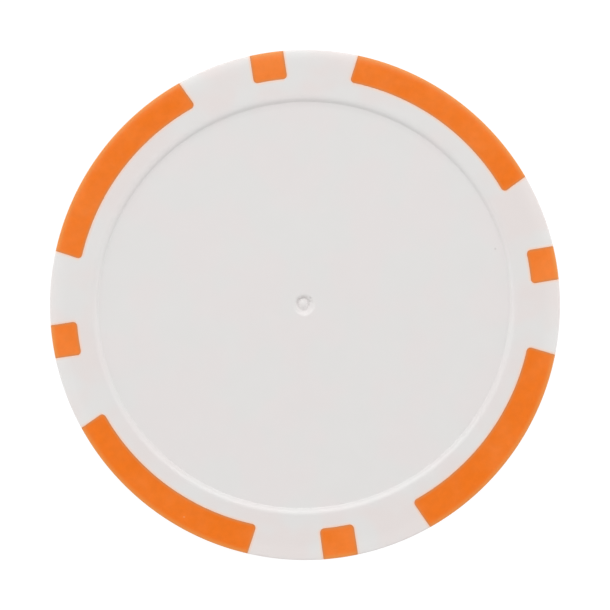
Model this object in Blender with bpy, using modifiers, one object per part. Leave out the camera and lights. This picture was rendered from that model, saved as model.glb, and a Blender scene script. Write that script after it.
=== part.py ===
"""Golf ball marker in the form of a weighted poker chip, without any decal.

A white moulded body holds a sealed steel slug. Eight orange inserts, four long and four
short, run through the full thickness at the rim. Each has a dovetail tongue under the
white skins, which keeps it captive and centres the slug.

Units are metres and +Z is up. The origin is the centre of the underside, on the surface
that the marker rests on. The short stripes point along X and Y, and the long stripes lie
midway between them. The face with the gate mark is the upper one.
"""
import math

import bmesh
import bpy
from mathutils import Matrix, Vector

MM = 0.001

# Disc
OUTER_RADIUS = 20.0 * MM
THICKNESS = 3.3 * MM
RIM_FILLET = 0.25 * MM
RECESS_RADIUS = 16.13 * MM
RECESS_DEPTH = 0.25 * MM
RECESS_WALL_WIDTH = 0.35 * MM

# Gate mark: a dimple round the nub that is left where the plastic entered the mould
DIMPLE_RADIUS = 0.8 * MM
DIMPLE_FLOOR_RADIUS = 0.62 * MM
DIMPLE_DEPTH = 0.22 * MM
NUB_RADIUS = 0.37 * MM
NUB_HEIGHT = 0.16 * MM
NUB_TAPER = 0.06 * MM

# Orange stripes. A side line is placed by its angle from the stripe's middle at SIDE_RADIUS,
# and by how far it leans from the radius there towards that middle.
STRIPE_INNER_RADIUS = 17.83 * MM
SIDE_RADIUS = 18.86 * MM
STRIPE_CORNER = 0.35 * MM
STRIPES_OF_EACH_KIND = 4
SHORT_WIDTH = 2.63 * MM
SHORT_HALF_SPAN = math.asin(SHORT_WIDTH / 2 / SIDE_RADIUS)
LONG_HALF_SPAN = math.radians(24.5)
LONG_END_LEAN = math.radians(6.0)
QUARTER_TURN = math.radians(90.0)

# Name, half span, lean of the sides and direction of the first stripe of each kind.
# A short stripe's sides lean by its own half span, which makes them parallel.
STRIPE_KINDS = (
    ("short_stripe", SHORT_HALF_SPAN, SHORT_HALF_SPAN, 0.0),
    ("long_stripe", LONG_HALF_SPAN, LONG_END_LEAN, QUARTER_TURN / 2),
)

# Dovetail tongue inside each stripe
TONGUE_THICKNESS = 1.2 * MM
TONGUE_NECK_INSET = 0.2 * MM
TONGUE_FLARE = math.radians(18.0)
TONGUE_CORNER = 0.2 * MM
TONGUE_ROOT = 0.8 * MM

# Steel slug
SLUG_RADIUS = 15.0 * MM
SLUG_THICKNESS = 1.5 * MM
SLUG_CHAMFER = 0.1 * MM

# The bonded faces are kept this far apart, so that every piece is a solid of its own.
FIT_GAP = 0.05 * MM

# How finely round shapes are divided, and how far a cutter stands clear of the disc
DISC_STEPS = 96
FILLET_STEPS = 4
CORNER_STEPS = 3
ARC_STEP = math.radians(360 / DISC_STEPS)
CUTTER_MARGIN = 1.0 * MM
WELD_DISTANCE = 0.001 * MM
SHARP_ANGLE = math.radians(30.0)

MID_HEIGHT = THICKNESS / 2


def clear_scene():
    """Remove every object and the collections of an earlier run."""
    for obj in list(bpy.data.objects):
        bpy.data.objects.remove(obj, do_unlink=True)
    for collection in list(bpy.data.collections):
        bpy.data.collections.remove(collection)


def new_collection(name):
    collection = bpy.data.collections.new(name)
    bpy.context.scene.collection.children.link(collection)
    return collection


def new_material(name, color, roughness, metallic=0.0):
    material = bpy.data.materials.new(name)
    material.use_nodes = True
    shader = material.node_tree.nodes["Principled BSDF"]
    shader.inputs["Base Color"].default_value = (*color, 1.0)
    shader.inputs["Roughness"].default_value = roughness
    shader.inputs["Metallic"].default_value = metallic
    material.diffuse_color = (*color, 1.0)
    return material


def as_cutter(obj):
    obj.hide_render = True
    obj.display_type = "WIRE"
    return obj


def add_boolean(obj, operation, other):
    modifier = obj.modifiers.new(f"{operation.lower()} {other.name}", "BOOLEAN")
    modifier.operation = operation
    modifier.solver = "EXACT"
    modifier.object = other


def finish_mesh(mesh, material):
    """The only material of a mesh, and smooth shading between its sharp edges."""
    mesh.materials.clear()
    mesh.materials.append(material)
    mesh.shade_smooth()
    mesh.set_sharp_from_angle(angle=SHARP_ANGLE)


def evaluated_mesh(obj, name):
    """A new mesh of the object as the viewport shows it, with its loose seams welded."""
    bpy.context.view_layer.update()
    depsgraph = bpy.context.evaluated_depsgraph_get()
    mesh = bpy.data.meshes.new_from_object(obj.evaluated_get(depsgraph))
    mesh.name = name
    work = bmesh.new()
    work.from_mesh(mesh)
    bmesh.ops.remove_doubles(work, verts=work.verts, dist=WELD_DISTANCE)
    work.to_mesh(mesh)
    work.free()
    return mesh


# ---------------------------------------------------------------- turned disc

def gate_profile(floor):
    """The gate mark's section from the axis out to the recess floor."""
    bottom = floor - DIMPLE_DEPTH
    nub_top = bottom + NUB_HEIGHT
    return [
        (0.0, nub_top),
        (NUB_RADIUS - NUB_TAPER, nub_top),
        (NUB_RADIUS, bottom),
        (DIMPLE_FLOOR_RADIUS, bottom),
        (DIMPLE_RADIUS, floor),
    ]


def disc_profile():
    """The disc's section, from the axis over the upper face and rim to the axis below."""
    inner_wall = RECESS_RADIUS - RECESS_WALL_WIDTH / 2
    outer_wall = RECESS_RADIUS + RECESS_WALL_WIDTH / 2
    upper_floor = THICKNESS - RECESS_DEPTH
    profile = gate_profile(upper_floor)
    profile += [(inner_wall, upper_floor), (outer_wall, THICKNESS)]
    centre_x = OUTER_RADIUS - RIM_FILLET
    for centre_z, first_turn in ((THICKNESS - RIM_FILLET, 0.0), (RIM_FILLET, math.pi / 2)):
        for step in range(FILLET_STEPS + 1):
            turn = first_turn + math.pi / 2 * step / FILLET_STEPS
            x = centre_x + RIM_FILLET * math.sin(turn)
            z = centre_z + RIM_FILLET * math.cos(turn)
            profile.append((x, z))
    profile += [(outer_wall, 0.0), (inner_wall, RECESS_DEPTH), (0.0, RECESS_DEPTH)]
    return profile


def turned_disc(name, collection):
    """The whole chip's outer form as one turned solid."""
    mesh = bpy.data.meshes.new(name)
    work = bmesh.new()
    verts = [work.verts.new((x, 0.0, z)) for x, z in disc_profile()]
    for first, second in zip(verts, verts[1:]):
        work.edges.new((first, second))
    work.to_mesh(mesh)
    work.free()
    disc = bpy.data.objects.new(name, mesh)
    collection.objects.link(disc)
    screw = disc.modifiers.new("turn", "SCREW")
    screw.axis = "Z"
    screw.steps = DISC_STEPS
    screw.render_steps = DISC_STEPS
    screw.use_merge_vertices = True
    screw.merge_threshold = WELD_DISTANCE
    screw.use_smooth_shade = True
    return disc


# ---------------------------------------------------------------- stripes

def arc(radius, first, last):
    """Points on a circle about the axis, between two angles, ends included."""
    steps = max(1, math.ceil(abs(last - first) / ARC_STEP))
    angles = [first + (last - first) * step / steps for step in range(steps + 1)]
    return [Vector((radius * math.cos(a), radius * math.sin(a))) for a in angles]


def along_line(point, along, radius):
    """Where the line crosses the circle of that radius, on its outward half."""
    ahead = point.dot(along)
    reach = math.sqrt(ahead**2 - point.length_squared + radius**2)
    return point + along * (reach - ahead)


def stripe_outline(point, along, inner_radius, outer_radius, corner):
    """Closed outline, symmetric about X, between two circles and a straight side.

    The upper side runs outward through the point. Its corner with the inner circle is
    rounded, and the corner with the outer circle is sharp.
    """
    away = Vector((-along.y, along.x))
    outer_corner = along_line(point, along, outer_radius)
    centre = along_line(point - away * corner, along, inner_radius + corner)
    start = math.atan2(away.y, away.x)
    sweep = (math.atan2(-centre.y, -centre.x) - start) % (2 * math.pi)
    upper = arc(outer_radius, 0.0, math.atan2(outer_corner.y, outer_corner.x))
    for step in range(CORNER_STEPS + 1):
        turn = start + sweep * step / CORNER_STEPS
        upper.append(centre + Vector((math.cos(turn), math.sin(turn))) * corner)
    upper += arc(inner_radius, math.atan2(centre.y, centre.x), 0.0)[1:]
    lower = [Vector((p.x, -p.y)) for p in reversed(upper[1:-1])]
    return upper + lower


def prism(name, outline, low, high, collection):
    """A flat outline, extruded between two heights and turned into a closed mesh."""
    curve = bpy.data.curves.new(name, "CURVE")
    curve.dimensions = "2D"
    curve.fill_mode = "BOTH"
    curve.extrude = (high - low) / 2
    spline = curve.splines.new("POLY")
    spline.points.add(len(outline) - 1)
    for control, point in zip(spline.points, outline):
        control.co = (point.x, point.y, 0.0, 1.0)
    spline.use_cyclic_u = True
    drawn = bpy.data.objects.new(name, curve)
    collection.objects.link(drawn)
    drawn.location.z = (low + high) / 2
    mesh = evaluated_mesh(drawn, name)
    solid = bpy.data.objects.new(name, mesh)
    collection.objects.link(solid)
    solid.matrix_world = drawn.matrix_world
    bpy.data.objects.remove(drawn, do_unlink=True)
    return as_cutter(solid)


def stripe_prisms(name, half_span, lean, grow, collection):
    """The prisms of a stripe on +X, block and tongue, with every face moved out by grow."""
    radial = Vector((math.cos(half_span), math.sin(half_span)))
    along = Matrix.Rotation(-lean, 2) @ radial
    away = Vector((-along.y, along.x))
    side = radial * SIDE_RADIUS
    block = prism(
        f"{name}_block",
        stripe_outline(
            side + away * grow,
            along,
            STRIPE_INNER_RADIUS - grow,
            OUTER_RADIUS + CUTTER_MARGIN,
            STRIPE_CORNER + grow,
        ),
        -CUTTER_MARGIN,
        THICKNESS + CUTTER_MARGIN,
        collection,
    )
    neck = along_line(side, along, STRIPE_INNER_RADIUS) - away * TONGUE_NECK_INSET
    tongue_along = Matrix.Rotation(-TONGUE_FLARE, 2) @ along
    tongue_away = Vector((-tongue_along.y, tongue_along.x))
    tongue = prism(
        f"{name}_tongue",
        stripe_outline(
            neck + tongue_away * grow,
            tongue_along,
            SLUG_RADIUS + FIT_GAP - grow,
            STRIPE_INNER_RADIUS + TONGUE_ROOT,
            TONGUE_CORNER + grow,
        ),
        MID_HEIGHT - TONGUE_THICKNESS / 2 - grow,
        MID_HEIGHT + TONGUE_THICKNESS / 2 + grow,
        collection,
    )
    return block, tongue


def joined_stripe(name, half_span, lean, grow, blank, collection):
    """One stripe's mesh, block and tongue in one body, cut to the blank if there is one."""
    block, tongue = stripe_prisms(name, half_span, lean, grow, collection)
    if blank:
        add_boolean(block, "INTERSECT", blank)
    add_boolean(block, "UNION", tongue)
    mesh = evaluated_mesh(block, name)
    mesh.transform(block.matrix_world)
    for used in (block, tongue):
        bpy.data.objects.remove(used, do_unlink=True)
    return mesh


def place_round(mesh, name, first_angle, collection):
    """Copies of a mesh made for +X, evenly spaced round the disc and numbered from one."""
    placed = []
    for index in range(STRIPES_OF_EACH_KIND):
        obj = bpy.data.objects.new(f"{name}_{index + 1}", mesh)
        obj.rotation_euler.z = first_angle + index * QUARTER_TURN
        collection.objects.link(obj)
        placed.append(obj)
    return placed


# ---------------------------------------------------------------- slug

def cylinder(name, radius, height, collection):
    """A cylinder about the axis, centred on the chip's middle height."""
    bpy.ops.mesh.primitive_cylinder_add(
        vertices=DISC_STEPS, radius=radius, depth=height, location=(0.0, 0.0, MID_HEIGHT)
    )
    obj = bpy.context.active_object
    obj.name = name
    for holder in list(obj.users_collection):
        holder.objects.unlink(obj)
    collection.objects.link(obj)
    return obj


def steel_slug(material, collection):
    slug = cylinder("steel_slug", SLUG_RADIUS, SLUG_THICKNESS, collection)
    finish_mesh(slug.data, material)
    edge = slug.modifiers.new("broken edge", "BEVEL")
    edge.width = SLUG_CHAMFER
    edge.segments = 1
    edge.limit_method = "ANGLE"
    return slug


# ---------------------------------------------------------------- assembly

def build():
    clear_scene()
    parts = new_collection("ball_marker")
    cutters = new_collection("ball_marker_cutters")
    white = new_material("white_abs", (0.78, 0.76, 0.74), 0.45)
    orange = new_material("orange_abs", (0.86, 0.20, 0.03), 0.4)
    steel = new_material("slug_steel", (0.55, 0.55, 0.56), 0.35, metallic=1.0)

    body = turned_disc("white_body", parts)
    body.data.materials.append(white)
    blank = as_cutter(turned_disc("blank", cutters))

    pieces = [body, steel_slug(steel, parts)]
    hollows = [
        cylinder("slug_cavity", SLUG_RADIUS + FIT_GAP, SLUG_THICKNESS + 2 * FIT_GAP, cutters)
    ]
    for name, half_span, lean, first_angle in STRIPE_KINDS:
        stripe = joined_stripe(name, half_span, lean, 0.0, blank, cutters)
        finish_mesh(stripe, orange)
        pieces += place_round(stripe, name, first_angle, parts)
        pocket = joined_stripe(f"{name}_pocket", half_span, lean, FIT_GAP, None, cutters)
        hollows += place_round(pocket, f"{name}_pocket", first_angle, cutters)
    bpy.data.objects.remove(blank, do_unlink=True)
    for hollow in hollows:
        add_boolean(body, "DIFFERENCE", as_cutter(hollow))

    marker = bpy.data.objects.new("ball_marker", None)
    parts.objects.link(marker)
    for piece in pieces:
        piece.parent = marker
    bpy.context.view_layer.update()


build()
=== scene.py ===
"""Fine visual model of the ball marker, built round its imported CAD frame.

The white body and the eight orange stripes are cut from one polar grid: its rows follow
the chip's section from the upper face's middle over the rim to the parting line, and its
columns follow the stripes' outlines. The lower half mirrors the upper one, without the
gate mark. The steel slug keeps its CAD shape. Angles are counted from +X, where the first
short stripe is.
"""

import math

import bmesh
import bpy
import numpy as np
from mathutils import Euler, Matrix, Vector, noise


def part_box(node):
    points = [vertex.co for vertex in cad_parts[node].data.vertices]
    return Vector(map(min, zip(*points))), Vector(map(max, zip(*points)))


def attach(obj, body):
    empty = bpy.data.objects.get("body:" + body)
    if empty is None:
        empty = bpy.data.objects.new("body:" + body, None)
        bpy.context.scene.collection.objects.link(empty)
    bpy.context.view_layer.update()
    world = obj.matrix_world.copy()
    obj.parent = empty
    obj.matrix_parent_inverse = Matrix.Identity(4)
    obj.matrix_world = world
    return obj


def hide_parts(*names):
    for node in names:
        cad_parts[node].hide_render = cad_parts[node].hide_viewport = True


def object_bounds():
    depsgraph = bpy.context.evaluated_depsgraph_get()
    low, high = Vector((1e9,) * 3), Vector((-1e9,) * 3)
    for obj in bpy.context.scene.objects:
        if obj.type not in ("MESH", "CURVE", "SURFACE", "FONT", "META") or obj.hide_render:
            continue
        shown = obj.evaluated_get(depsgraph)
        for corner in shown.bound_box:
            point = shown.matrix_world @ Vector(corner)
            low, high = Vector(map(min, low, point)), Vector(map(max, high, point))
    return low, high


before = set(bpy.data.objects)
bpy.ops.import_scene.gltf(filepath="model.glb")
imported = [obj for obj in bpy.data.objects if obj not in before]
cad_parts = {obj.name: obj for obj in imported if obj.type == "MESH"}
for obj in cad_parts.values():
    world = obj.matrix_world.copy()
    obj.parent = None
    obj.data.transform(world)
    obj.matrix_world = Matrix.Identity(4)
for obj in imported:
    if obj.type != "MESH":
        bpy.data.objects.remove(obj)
cad_low, cad_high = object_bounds()

MM = 0.001

# From the frame
OUTER_RADIUS = (cad_high.x - cad_low.x) / 2
THICKNESS = cad_high.z - cad_low.z
MID_HEIGHT = (cad_high.z + cad_low.z) / 2

# Rim's section
CROWN_START = 19.25 * MM
CROWN_RADIUS = 3.6 * MM
RIM_FILLET = 0.15 * MM
RIM_DRAFT = math.radians(1.2)
PARTING_RIDGE = 0.012 * MM
PARTING_HALF_WIDTH = 0.05 * MM

# Recess: its wall, steepest at a share of its width, and the wall's foot, which is rounder
# towards FOOT_SIDE
RECESS_DEPTH = 0.25 * MM
WALL_START = 15.95 * MM
WALL_WIDTH = 0.68 * MM
WALL_STEEPEST = 0.2
FOOT_START = 15.5 * MM
FOOT_WIDTH = 0.6 * MM
FOOT_DROP = 0.075 * MM
FOOT_SIDE = math.radians(96.0)

# Stripes
STRIPE_INNER_RADIUS = 17.73 * MM
SIDE_RADIUS = 18.86 * MM
STRIPE_CORNER = 0.33 * MM
SHORT_HALF_WIDTH = 1.323 * MM
SHORT_HALF_SPAN = math.asin(SHORT_HALF_WIDTH / SIDE_RADIUS)
LONG_HALF_SPAN = math.radians(24.5)
LONG_END_LEAN = math.radians(6.0)

# Seams: the rows and columns beside one stand off it by the steps, and the rows within
# reach of the stripes' inner edge move with it
SEAM_HALF_GAP = 0.004 * MM
SEAM_ROUNDING = 0.025 * MM
SEAM_TINT_WIDTH = 0.26 * MM
SEAM_STEPS = 0.06 * MM, 0.13 * MM, 0.22 * MM
SEAM_REACH = 1.0 * MM

# The stripes and the recess are each a little off the rim's centre and a little oval.
# One's shift gives way to the other's over a band, and both fade out towards the axis.
STRIPE_SHIFT = Vector((-0.045, 0.107)) * MM
STRIPE_STRETCH = 0.0068
RECESS_SHIFT = Vector((-0.048, 0.006)) * MM
RECESS_STRETCH = 0.009
STRETCH_ANGLE = math.radians(14.0)
BAND_START = 16.7 * MM
BAND_WIDTH = 0.8 * MM
FADE_RADIUS = 12.0 * MM

# How far the stripes' sides are turned round the axis, once and twice round: size, place
TURN_ONCE = math.radians(0.702), math.radians(25.9)
TURN_TWICE = math.radians(0.416), math.radians(-23.8)

# How far the body's cavity stands off the steel slug
SLUG_GAP = 0.05 * MM

# Gate mark, in the upper face's middle: a dimple with a nub in it, a moat round the nub's
# upper side, and two pits (place and depth). Places are across and up the picture. The
# nub's lower half is drawn out, because its distances are squeezed.
GATE_REACH = 1.0 * MM
GATE_SHIFT = Vector((-0.06, 0.03)) * MM
GATE_OUTER = 0.89 * MM
GATE_INNER = 0.42 * MM
GATE_DEPTH = 0.17 * MM
GATE_WOBBLE = 0.05 * MM
GATE_FADE = 0.08 * MM
NUB_SHIFT = Vector((-0.13, 0.13)) * MM
NUB_PLATEAU = 0.06 * MM
NUB_FOOT = 0.4 * MM
NUB_HEIGHT = 0.15 * MM
NUB_TILT = 0.2 / MM
NUB_SQUEEZE = 0.65
NUB_WOBBLE = 0.06
MOAT_RADIUS = 0.44 * MM
MOAT_WIDTH = 0.085 * MM
MOAT_DEPTH = 0.14 * MM
PITS = (0.45 * MM, 0.52 * MM, 0.08 * MM), (0.4 * MM, 0.27 * MM, 0.06 * MM)
PIT_WIDTH = 0.08 * MM
GRAIN_HEIGHT = 0.02 * MM
GRAIN_REACH = 0.65 * MM
GRAIN_FADE = 0.3 * MM
SEED_OFFSET = Vector((3.7, 1.9, 8.2))

# Picture: which way is up in it, seen from +Z, and how it is framed: off the chip's axis,
# and as wide as a number of chips
PICTURE_ROLL = math.radians(-8.68)
PICTURE_OFFSET = Vector((0.0044, 0.0002)) * MM
CHIPS_ACROSS = 1.19725
LENS = 300.0
SENSOR = 36.0

# Light and floor
LIGHT_DISTANCE = 1.4
KEY_WATTS = 9.9
SIDE_WATTS = 2.2
HORIZON_STRENGTH = 1.0
SKY_STRENGTH = 0.72
ZENITH_STRENGTH = 0.072
FLOOR_GLOW = 0.93
FLOOR_DROP = 0.02 * MM
FLOOR_HALF_SIDE = 1.5


# ---------------------------------------------------------------- section

def smooth(t):
    t = min(max(t, 0.0), 1.0)
    return t * t * (3 - 2 * t)


def recess_height(radius):
    """How far the surface lies below the face's ring at a radius.

    The wall's slope rises quickly to its steepest and then fades out in a long rounding.
    """
    share = WALL_STEEPEST
    t = min(max((radius - WALL_START) / WALL_WIDTH, 0.0), 1.0)
    foot = min(t / share, 1.0)
    head = max(t - share, 0.0) / (1 - share)
    climbed = share * (foot**3 - foot**4 / 2) + (1 - share) * (1 - (1 - head) ** 3) / 3
    return RECESS_DEPTH * (1 - climbed / (share / 2 + (1 - share) / 3))


def foot_drop(radius, angle):
    """How much further down the floor lies on the side where the wall's foot is rounded."""
    shape = 1 - min(max((radius - FOOT_START) / FOOT_WIDTH, 0.0), 1.0) ** 2
    side = max(math.cos(angle - FOOT_SIDE), 0.0)
    return FOOT_DROP * shape * side * smooth(radius / FADE_RADIUS)


def wall_radius(height):
    """The rim's radius at a height from the middle: a drafted wall and a parting ridge."""
    ridge = PARTING_RIDGE * (1 - smooth(abs(height) / PARTING_HALF_WIDTH))
    return OUTER_RADIUS - PARTING_RIDGE - abs(height) * math.tan(RIM_DRAFT) + ridge


def face_rows():
    """Rows on a face, from the middle to the crown, and the one on the stripes' inner edge.

    They are closest together where the section or an outline curves.
    """
    half = THICKNESS / 2
    gate_mark = np.linspace(0.03 * MM, GATE_REACH + 0.02 * MM, 30)
    floor = np.linspace(1.5 * MM, FOOT_START - 0.2 * MM, 15)
    wall_foot = np.linspace(FOOT_START, WALL_START - WALL_WIDTH * 0.2, 5)
    steep_wall = WALL_START + WALL_WIDTH * np.linspace(-0.1, 0.3, 11)
    rounded_wall = WALL_START + WALL_WIDTH * np.linspace(0.38, 1.1, 8)
    ring = np.linspace(16.9 * MM, STRIPE_INNER_RADIUS - 0.35 * MM, 4)
    before_seam = [STRIPE_INNER_RADIUS - step for step in reversed(SEAM_STEPS)]
    inner = [*gate_mark, *floor, *wall_foot, *steep_wall, *rounded_wall, *ring, *before_seam]
    corners = STRIPE_INNER_RADIUS + STRIPE_CORNER * (1 - np.cos(np.linspace(0, math.pi / 2, 8)))
    stripes = np.linspace(corners[-1] + 0.1 * MM, CROWN_START - 0.06 * MM, 6)
    return [(r, half - recess_height(r)) for r in (*inner, *corners, *stripes)], len(inner)


def rim_rows():
    """Rows over the rim: the crown's arc, the fillet, the drafted wall and the parting line."""
    half = THICKNESS / 2
    side = wall_radius(half - RIM_FILLET)
    join = math.asin((side - RIM_FILLET - CROWN_START) / (CROWN_RADIUS - RIM_FILLET))
    rows = []
    for turn in np.linspace(0, join, 6)[:-1]:
        away, up = math.sin(turn), math.cos(turn)
        rows.append((CROWN_START + CROWN_RADIUS * away, half + CROWN_RADIUS * (up - 1)))
    centre = half + (CROWN_RADIUS - RIM_FILLET) * math.cos(join) - CROWN_RADIUS
    for turn in np.linspace(join, math.pi / 2, 12):
        rows.append((side + RIM_FILLET * (math.sin(turn) - 1), centre + RIM_FILLET * math.cos(turn)))
    wall = np.linspace(centre * 0.85, PARTING_HALF_WIDTH * 1.6, 4)
    ridge = np.linspace(PARTING_HALF_WIDTH, 0, 6)
    return rows + [(wall_radius(height), height) for height in (*wall, *ridge)]


# ---------------------------------------------------------------- plan

def along_line(point, along, radius):
    """Where the line through a point, in a direction, reaches a radius from the axis."""
    ahead = point.dot(along)
    return point + along * (math.sqrt(ahead**2 - point.length_squared + radius**2) - ahead)


class Outline:
    """One kind of stripe, centred on +X, with every side moved out by grow."""

    def __init__(self, half_span, lean, grow):
        radial = Vector((math.cos(half_span), math.sin(half_span)))
        turn = half_span - lean
        self.along = Vector((math.cos(turn), math.sin(turn)))
        away = Vector((-self.along.y, self.along.x))
        self.side = radial * SIDE_RADIUS + away * grow
        self.inner = STRIPE_INNER_RADIUS - grow
        self.corner = STRIPE_CORNER + grow
        self.centre = along_line(self.side - away * self.corner, self.along, self.inner + self.corner)
        self.corner_end = (self.centre + away * self.corner).length

    def half_angle(self, radius):
        """Half the angle that the stripe spans at a radius, or at its inner edge below that."""
        toward = math.atan2(self.centre.y, self.centre.x)
        if radius <= self.inner:
            return toward
        if radius < self.corner_end:
            far = self.centre.length
            cosine = (radius**2 + far**2 - self.corner**2) / (2 * radius * far)
            return toward + math.acos(min(1.0, cosine))
        point = along_line(self.side, self.along, radius)
        return math.atan2(point.y, point.x)


# Every stripe's name, kind and middle, the columns across a sector of each kind, and how
# far round from a stripe's middle another one is sure to be nearer
STRIPES = [
    (f"{kind}_stripe_{quarter + 1}", kind, math.radians(90 * quarter + offset))
    for quarter in range(4)
    for kind, offset in (("short", 0), ("long", 45))
]
STRIPE_COLUMNS = {"short": 8, "long": 42}
WHITE_COLUMNS = 12
NEAR_STRIPE = math.radians(34.0)


def graded(start, end, columns, radius):
    """Angles from start up to, not including, end: closer together near both ends."""
    *near, last = (step / max(radius, STRIPE_INNER_RADIUS) for step in SEAM_STEPS)
    middle = np.linspace(start + last, end - last, columns + 1)
    return [start, *(start + step for step in near), *middle, *(end - step for step in reversed(near))]


def column_angles(radius, outlines):
    """The angle of every column at a radius, and for each column the stripe it starts in."""
    angles, owners = [], []
    for index, (name, kind, middle) in enumerate(STRIPES):
        half = outlines[kind].half_angle(radius)
        _, next_kind, next_middle = STRIPES[(index + 1) % len(STRIPES)]
        if next_middle < middle:
            next_middle += 2 * math.pi
        next_start = next_middle - outlines[next_kind].half_angle(radius)
        across = graded(middle - half, middle + half, STRIPE_COLUMNS[kind], radius)
        between = graded(middle + half, next_start, WHITE_COLUMNS, radius)
        angles += across + between
        owners += [name] * len(across) + [None] * len(between)
    return angles, owners


def seam_distance(radius, angle, outlines):
    """How far a point is from the nearest stripe's outline, on either side of it."""
    nearest = math.inf
    for _, kind, middle in STRIPES:
        off = abs((angle - middle + math.pi) % (2 * math.pi) - math.pi)
        if off < NEAR_STRIPE:
            outline = outlines[kind]
            lateral = (off - outline.half_angle(radius)) * radius
            radial = outline.inner - radius
            if lateral < 0 and radial < 0:
                distance = min(-lateral, -radial)
            else:
                distance = math.hypot(max(lateral, 0), max(radial, 0))
            nearest = min(nearest, distance)
    return nearest


def pattern_warp(radius, angle):
    """The radius and angle that a point of the face's pattern is moved to."""
    outside = smooth((radius - BAND_START) / BAND_WIDTH)
    fade = smooth(radius / FADE_RADIUS)
    dx, dy = RECESS_SHIFT.lerp(STRIPE_SHIFT, outside) * fade
    stretch = (RECESS_STRETCH + (STRIPE_STRETCH - RECESS_STRETCH) * outside) * fade
    push = dx * math.cos(angle) + dy * math.sin(angle)
    push += stretch * radius * math.cos(2 * (angle - STRETCH_ANGLE))
    push *= 1 - smooth((radius - STRIPE_INNER_RADIUS) / (CROWN_START - STRIPE_INNER_RADIUS))
    turn = TURN_ONCE[0] * math.cos(angle - TURN_ONCE[1])
    turn += TURN_TWICE[0] * math.cos(2 * (angle - TURN_TWICE[1]))
    return radius + push, angle + turn * outside


def uneven(across, up, scale, layer):
    """Smooth noise over the upper face, from about -1 to 1, with its own pattern per layer."""
    return noise.noise(Vector((across * scale, up * scale, layer)) + SEED_OFFSET)


def gate_height(x, y):
    """The gate mark's height above the recess floor at a point of the upper face."""
    across = x * math.cos(PICTURE_ROLL) + y * math.sin(PICTURE_ROLL)
    up = y * math.cos(PICTURE_ROLL) - x * math.sin(PICTURE_ROLL)
    radius = math.hypot(across, up)
    if radius > GATE_REACH:
        return 0.0
    bumps = uneven(across, up, 2.2 / MM, 0.3)

    away = math.hypot(across - GATE_SHIFT.x, up - GATE_SHIFT.y)
    inside = (GATE_OUTER + GATE_WOBBLE * bumps - away) / (GATE_OUTER - GATE_INNER)
    height = -GATE_DEPTH * smooth(inside)

    nub_up = up - NUB_SHIFT.y
    if nub_up < 0:
        nub_up *= NUB_SQUEEZE
    nub_radius = math.hypot(across - NUB_SHIFT.x, nub_up) * (1 + NUB_WOBBLE * bumps)
    nub = smooth((NUB_FOOT - nub_radius) / (NUB_FOOT - NUB_PLATEAU))
    height += NUB_HEIGHT * nub * (1 + NUB_TILT * nub_up)

    upper_side = 0.5 + 0.5 * nub_up / max(nub_radius, 0.1 * MM)
    moat = math.exp(-(((nub_radius - MOAT_RADIUS) / MOAT_WIDTH) ** 2))
    height -= MOAT_DEPTH * moat * math.sqrt(max(upper_side, 0.0))

    grain = uneven(across, up, 7 / MM, 2.1)
    height += GRAIN_HEIGHT * grain * smooth((GRAIN_REACH - radius) / GRAIN_FADE)
    for pit_across, pit_up, depth in PITS:
        apart = math.hypot(across - pit_across, up - pit_up)
        height -= depth * math.exp(-((apart / PIT_WIDTH) ** 2))
    return height * smooth((GATE_REACH - radius) / GATE_FADE)


def build_grid(grow):
    """The grid's points as an array (row, column, xyz and tint), its owners and inner row."""
    outlines = {
        "short": Outline(SHORT_HALF_SPAN, SHORT_HALF_SPAN, grow),
        "long": Outline(LONG_HALF_SPAN, LONG_END_LEAN, grow),
    }
    rows, inner_row = face_rows()
    rows += rim_rows()
    grid = []
    for row_radius, height in rows:
        # the row on the stripes' inner edge moves in by grow, and its neighbours with it
        near = 1 - smooth(abs(row_radius - STRIPE_INNER_RADIUS) / SEAM_REACH)
        radius = row_radius - grow * near
        angles, owners = column_angles(radius, outlines)
        points = []
        for angle in angles:
            placed, turned = pattern_warp(radius, angle)
            z = height - foot_drop(radius, turned)
            tint = 1 - smooth(seam_distance(radius, angle, outlines) / SEAM_TINT_WIDTH)
            points.append((placed * math.cos(turned), placed * math.sin(turned), z, tint))
        grid.append(points)
    return np.array(grid), owners, inner_row


# ---------------------------------------------------------------- pieces

UPPER, LOWER = 0, 1


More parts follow.
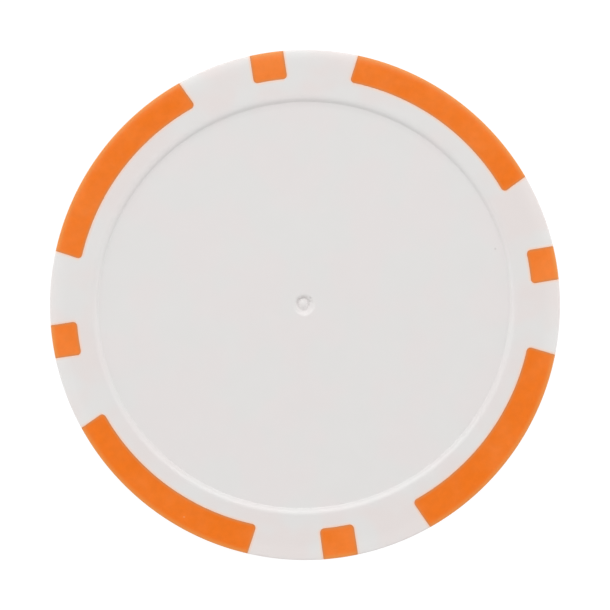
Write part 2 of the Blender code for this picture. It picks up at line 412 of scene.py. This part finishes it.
class Shell:
    """A closed mesh from some of the grid's quads and their mirror images below.

    The two sheets meet at the parting line. Everywhere else that the kept quads end, an
    upright wall joins the upper sheet to the lower one, with a bevel weight on its edges.
    """

    def __init__(self, grid, gate):
        self.grid = grid
        self.gate = gate
        self.rows, self.columns, _ = grid.shape
        self.work = bmesh.new()
        self.bevel = self.work.edges.layers.float.new("bevel_weight_edge")
        self.tint = self.work.verts.layers.float.new("seam_tint")
        self.verts = {}
        self.border = {}

    def vert(self, side, row, column):
        """The vertex at a grid point. Both sheets share the ones on the parting line."""
        if row == self.rows - 1:
            side = UPPER
        key = side, row, column
        if key not in self.verts:
            x, y, z, tint = self.grid[row, column]
            if side == UPPER and self.gate:
                z += gate_height(x, y)
            self.verts[key] = self.work.verts.new((x, y, MID_HEIGHT + (z if side == UPPER else -z)))
            self.verts[key][self.tint] = tint
        return self.verts[key]

    def add_quads(self, keep):
        """Both sheets' quads where keep(row, column) is true, and the border they leave."""
        for row in range(self.rows - 1):
            for column in range(self.columns):
                if not keep(row, column):
                    continue
                after = (column + 1) % self.columns
                corners = [(row, column), (row, after), (row + 1, after), (row + 1, column)]
                self.work.faces.new([self.vert(UPPER, *corner) for corner in reversed(corners)])
                self.work.faces.new([self.vert(LOWER, *corner) for corner in corners])
                for start, end in zip(corners, corners[1:] + corners[:1]):
                    on_parting_line = start[0] == end[0] == self.rows - 1
                    if not on_parting_line and self.border.pop((end, start), None) is None:
                        self.border[start, end] = True

    def close_middles(self):
        """Fans of triangles over the holes that the first row leaves round the axis."""
        for side in (UPPER, LOWER):
            z = self.grid[0, 0, 2]
            if side == UPPER and self.gate:
                z += gate_height(0, 0)
            middle = self.work.verts.new((0, 0, MID_HEIGHT + (z if side == UPPER else -z)))
            for column in range(self.columns):
                after = (column + 1) % self.columns
                pair = [self.vert(side, 0, column), self.vert(side, 0, after)]
                self.work.faces.new([middle, *(pair if side == UPPER else reversed(pair))])
        self.border = {ends: True for ends in self.border if not ends[0][0] == ends[1][0] == 0}

    def add_walls(self):
        """Upright walls between both sheets' borders, whose edges get the bevel weight."""
        for start, end in self.border:
            corners = [self.vert(UPPER, *start), self.vert(UPPER, *end)]
            corners += [self.vert(LOWER, *end), self.vert(LOWER, *start)]
            self.work.faces.new(list(dict.fromkeys(corners)))
        bmesh.ops.recalc_face_normals(self.work, faces=self.work.faces)
        for start, end in self.border:
            for side in (UPPER, LOWER):
                edge = self.work.edges.get((self.vert(side, *start), self.vert(side, *end)))
                edge[self.bevel] = 1.0

    def to_mesh(self, name):
        for face in self.work.faces:
            face.smooth = True
        mesh = bpy.data.meshes.new(name)
        self.work.to_mesh(mesh)
        self.work.free()
        return mesh


def finish_piece(name, mesh, node, material):
    piece = bpy.data.objects.new(name, mesh)
    bpy.context.scene.collection.objects.link(piece)
    mesh.materials.append(material)
    seam = piece.modifiers.new("seam rounding", "BEVEL")
    seam.limit_method = "WEIGHT"
    seam.width = SEAM_ROUNDING
    seam.segments = 2
    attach(piece, "root")
    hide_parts(node)


# ---------------------------------------------------------------- materials

class Nodes:
    """Short ways to add and link shader nodes in a material's or a world's tree."""

    def __init__(self, owner, shader):
        owner.use_nodes = True
        self.tree = owner.node_tree
        self.shader = self.tree.nodes[shader]
        self.coordinates = self.add("ShaderNodeTexCoord").outputs
        self.place = self.coordinates["Object"]

    def add(self, kind, inputs=None, **settings):
        node = self.tree.nodes.new(kind)
        for key, value in settings.items():
            setattr(node, key, value)
        self.fill(node, inputs or {})
        return node

    def fill(self, node, inputs):
        for key, value in inputs.items():
            if isinstance(value, bpy.types.NodeSocket):
                self.tree.links.new(value, node.inputs[key])
            else:
                node.inputs[key].default_value = value

    def math(self, operation, a, b=0.0):
        return self.add("ShaderNodeMath", {0: a, 1: b}, operation=operation).outputs[0]

    def split(self, vector):
        return self.add("ShaderNodeSeparateXYZ", {0: vector}).outputs

    def noise(self, scale, detail=2.0, roughness=0.5, vector=None):
        inputs = {"Scale": scale, "Detail": detail, "Roughness": roughness}
        inputs["Vector"] = vector or self.place
        return self.add("ShaderNodeTexNoise", inputs).outputs["Fac"]

    def ramp(self, value, low, high, to_low=0.0, to_high=1.0):
        inputs = {"Value": value, "From Min": low, "From Max": high, "To Min": to_low, "To Max": to_high}
        node = self.add("ShaderNodeMapRange", inputs, interpolation_type="SMOOTHSTEP")
        return node.outputs["Result"]

    def mix(self, factor, a, b):
        return self.add("ShaderNodeMix", {0: factor, 6: a, 7: b}, data_type="RGBA").outputs[2]

    def brighten(self, color, factor):
        """The colour times a factor."""
        inputs = {0: color, "Scale": factor}
        return self.add("ShaderNodeVectorMath", inputs, operation="SCALE").outputs[0]

    def tint_seams(self, color, share, seam_color):
        """The colour, taken over by the seam's near the stripes' outlines."""
        tint = self.add("ShaderNodeAttribute", attribute_name="seam_tint").outputs["Fac"]
        return self.mix(self.math("MULTIPLY", tint, share), color, seam_color)

    def radius(self):
        """Distance from the chip's axis."""
        x, y, _ = self.split(self.place)
        square = self.math("ADD", self.math("MULTIPLY", x, x), self.math("MULTIPLY", y, y))
        return self.math("SQRT", square)

    def surface(self, color, roughness, height, distance):
        """Colour, roughness and a bump whose height is in metres times distance."""
        bump = self.add("ShaderNodeBump", {"Height": height, "Distance": distance, "Strength": 1.0})
        looks = {"Base Color": color, "Roughness": roughness, "Normal": bump.outputs[0]}
        self.fill(self.shader, looks)


def new_material(name):
    material = bpy.data.materials.new(name)
    return material, Nodes(material, "Principled BSDF")


def speckles(nodes, scale, size, share):
    """Sparse round specks: one in the middle of a few of a Voronoi pattern's cells."""
    cells = nodes.add("ShaderNodeTexVoronoi", {"Vector": nodes.place, "Scale": scale})
    inside = nodes.ramp(cells.outputs["Distance"], size, size * 0.5)
    chosen = nodes.split(cells.outputs["Color"])[0]
    return nodes.math("MULTIPLY", inside, nodes.math("LESS_THAN", chosen, share))


def finish_plastic(nodes, color, roughness_scale, wave_scale, specular):
    """A moulded plastic's satin: patchy roughness, a fine grain and slight waves."""
    roughness = nodes.ramp(nodes.noise(roughness_scale, 3.0), 0.3, 0.7, 0.3, 0.36)
    waves = nodes.math("MULTIPLY", nodes.noise(wave_scale, 1.0), 1.5)
    height = nodes.math("ADD", nodes.noise(5200.0, 2.0), waves)
    nodes.fill(nodes.shader, {"Specular IOR Level": specular})
    nodes.surface(color, roughness, height, 0.0015 * MM)


def white_plastic():
    material, nodes = new_material("white_abs")
    radius = nodes.radius()
    recess = (0.757, 0.7225, 0.715, 1)
    ring = (0.759, 0.7035, 0.689, 1)
    cooler = (0.742, 0.7295, 0.719, 1)
    speck = (0.64, 0.61, 0.6, 1)
    seam = (0.92, 0.62, 0.47, 1)
    color = nodes.mix(nodes.ramp(radius, 15.9 * MM, 17.2 * MM), recess, ring)
    color = nodes.mix(nodes.ramp(nodes.noise(260.0), 0.4, 0.62), color, cooler)
    color = nodes.mix(speckles(nodes, 260.0, 0.03, 0.012), color, speck)
    # painted highlight: the white is painted up to 3.5% lighter towards the rim, standing in for the
    # rim's glare
    color = nodes.brighten(color, nodes.ramp(radius, 18.5 * MM, 19.7 * MM, 1.0, 1.035))
    color = nodes.tint_seams(color, 0.85, seam)
    finish_plastic(nodes, color, 700.0, 160.0, 0.62)
    return material


def orange_plastic():
    material, nodes = new_material("orange_abs")
    warm = (0.835, 0.168, 0.003, 1)
    light = (0.872, 0.217, 0.031, 1)
    speck = (0.88, 0.36, 0.14, 1)
    # a paler orange for the painted sheen on the faces' outermost band
    painted_sheen_orange = (0.79, 0.28, 0.058, 1)
    seam = (0.67, 0.235, 0.07, 1)
    radius = nodes.radius()

    # the short stripes, which lie across the axes, are lighter, and the +Y side, toward the key lamp, is
    # painted a little lighter: painted light
    short_lighter = 0.32
    painted_light_per_metre = 4.0
    x, y, z = nodes.split(nodes.place)
    from_axes = nodes.math("MINIMUM", nodes.math("ABSOLUTE", x), nodes.math("ABSOLUTE", y))
    short = nodes.math("LESS_THAN", from_axes, 3 * MM)
    # painted light: the orange gets lighter towards +Y, the key lamp's side
    slope = nodes.math("MULTIPLY", y, painted_light_per_metre)
    lightness = nodes.math("ADD", nodes.noise(330.0, 3.0, 0.6), slope)
    lightness = nodes.math("ADD", lightness, nodes.math("MULTIPLY", short, short_lighter))

    color = nodes.mix(nodes.ramp(lightness, 0.29, 1.09), warm, light)
    color = nodes.mix(speckles(nodes, 420.0, 0.05, 0.03), color, speck)
    # painted highlight: edge paints the orange up to 2.5% lighter towards the rim, for the rim's glare;
    # fine is a random tone
    edge = nodes.ramp(radius, 18.4 * MM, 19.7 * MM, 1.0, 1.025)
    fine = nodes.ramp(nodes.noise(1500.0, 3.0, 0.6), 0.3, 0.7, 0.975, 1.025)
    color = nodes.brighten(color, nodes.math("MULTIPLY", edge, fine))

    # painted sheen: the outermost part of both faces is painted paler, a painted highlight on the
    # curving edge, and the rim's upright wall isn't
    off_middle = nodes.math("ABSOLUTE", nodes.math("SUBTRACT", z, MID_HEIGHT))
    outermost = nodes.ramp(radius, 19.5 * MM, OUTER_RADIUS)
    painted_sheen_band = nodes.math("MULTIPLY", outermost, nodes.ramp(off_middle, 1.3 * MM, 1.5 * MM))
    color = nodes.mix(painted_sheen_band, color, painted_sheen_orange)
    color = nodes.tint_seams(color, 0.9, seam)
    finish_plastic(nodes, color, 900.0, 260.0, 0.45)
    return material


def slug_steel():
    material, nodes = new_material("slug_steel")
    scratches = nodes.add("ShaderNodeMapping", {"Vector": nodes.place, "Scale": (400, 6000, 400)})
    lines = nodes.noise(1.0, 3.0, 0.6, scratches.outputs[0])
    color = nodes.mix(lines, (0.42, 0.42, 0.43, 1), (0.6, 0.6, 0.61, 1))
    nodes.fill(nodes.shader, {"Metallic": 1.0})
    nodes.surface(color, nodes.ramp(lines, 0.3, 0.7, 0.3, 0.45), lines, 0.002 * MM)
    return material


def floor_paper():
    material, nodes = new_material("floor_paper")
    tone = nodes.noise(40.0)
    color = nodes.mix(tone, (0.13, 0.13, 0.13, 1), (0.14, 0.14, 0.14, 1))
    nodes.fill(nodes.shader, {"Emission Color": (1, 1, 1, 1), "Emission Strength": FLOOR_GLOW})
    nodes.surface(color, nodes.ramp(tone, 0.3, 0.7, 0.85, 0.95), tone, 0.001 * MM)
    return material


# ---------------------------------------------------------------- making

def hollow_for_slug(mesh):
    """Add a closed cavity round the steel slug, with its faces pointing into the cavity."""
    low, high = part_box("steel_slug")
    radius = (high.x - low.x) / 2 + SLUG_GAP
    work = bmesh.new()
    work.from_mesh(mesh)
    cavity = bmesh.ops.create_cone(
        work,
        cap_ends=True,
        cap_tris=True,
        segments=96,
        radius1=radius,
        radius2=radius,
        depth=high.z - low.z + 2 * SLUG_GAP,
        matrix=Matrix.Translation((low + high) / 2),
    )
    faces = {face for vert in cavity["verts"] for face in vert.link_faces}
    bmesh.ops.reverse_faces(work, faces=list(faces))
    work.to_mesh(mesh)
    work.free()


def make_body(material):
    grid, owners, inner_row = build_grid(SEAM_HALF_GAP)
    shell = Shell(grid, gate=True)
    shell.add_quads(lambda row, column: owners[column] is None or row < inner_row)
    shell.close_middles()
    shell.add_walls()
    mesh = shell.to_mesh("body_moulding")
    hollow_for_slug(mesh)
    finish_piece("body_moulding", mesh, "white_body", material)


def make_stripes(material):
    grid, owners, inner_row = build_grid(-SEAM_HALF_GAP)
    for name, _, _ in STRIPES:
        shell = Shell(grid, gate=False)
        shell.add_quads(lambda row, column: owners[column] == name and row >= inner_row)
        shell.add_walls()
        mesh = shell.to_mesh(f"{name}_moulding")
        finish_piece(f"{name}_moulding", mesh, name, material)


def dress_slug(material):
    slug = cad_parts["steel_slug"]
    slug.data.materials.clear()
    slug.data.materials.append(material)


def make_floor(material):
    mesh = bpy.data.meshes.new("floor")
    work = bmesh.new()
    bmesh.ops.create_grid(work, x_segments=8, y_segments=8, size=FLOOR_HALF_SIDE)
    work.to_mesh(mesh)
    work.free()
    floor = bpy.data.objects.new("floor", mesh)
    floor.location.z = cad_low.z - FLOOR_DROP
    mesh.materials.append(material)
    bpy.context.scene.collection.objects.link(floor)


def picture_direction(across, up, toward):
    """A direction given by the picture: across it, up it, and out of it."""
    turned = Vector((across, up, toward))
    turned.rotate(Euler((0, 0, PICTURE_ROLL)))
    return turned


def area_light(name, direction, width, height, watts):
    light = bpy.data.lights.new(name, "AREA")
    light.shape = "ELLIPSE"
    light.size = width
    light.size_y = height
    light.energy = watts
    lamp = bpy.data.objects.new(name, light)
    lamp.location = direction.normalized() * LIGHT_DISTANCE
    lamp.rotation_euler = lamp.location.to_track_quat("Z", "Y").to_euler()
    bpy.context.scene.collection.objects.link(lamp)


def make_lights():
    area_light("key", picture_direction(-0.08, 1.0, 1.12), width=2.0, height=1.4, watts=KEY_WATTS)
    for name, across in (("left", -1.0), ("right", 1.0)):
        area_light(name, picture_direction(across, 0.0, 0.5), width=0.8, height=0.8, watts=SIDE_WATTS)


def make_world():
    """A white studio: a bright horizon, a dimmer sky and a dark patch straight above."""
    world = bpy.data.worlds.new("studio")
    nodes = Nodes(world, "Background")
    height = nodes.split(nodes.coordinates["Generated"])[2]
    sky = nodes.ramp(height, 0.01, 0.12, HORIZON_STRENGTH, SKY_STRENGTH)
    strength = nodes.ramp(height, 0.93, 0.985, sky, ZENITH_STRENGTH)
    nodes.fill(nodes.shader, {"Color": (1, 1, 1, 1), "Strength": strength})
    bpy.context.scene.world = world


def make_camera():
    data = bpy.data.cameras.new("camera")
    data.lens = LENS
    data.sensor_width = SENSOR
    camera = bpy.data.objects.new("camera", data)
    distance = CHIPS_ACROSS * 2 * OUTER_RADIUS * LENS / SENSOR
    aim = picture_direction(PICTURE_OFFSET.x, PICTURE_OFFSET.y, 0.0)
    camera.location = aim + Vector((0, 0, MID_HEIGHT + distance))
    camera.rotation_euler = (0, 0, PICTURE_ROLL)
    bpy.context.scene.collection.objects.link(camera)
    bpy.context.scene.camera = camera


make_camera()
make_body(white_plastic())
make_stripes(orange_plastic())
dress_slug(slug_steel())
make_floor(floor_paper())
make_lights()
make_world()
bpy.context.scene.view_settings.view_transform = "Standard"
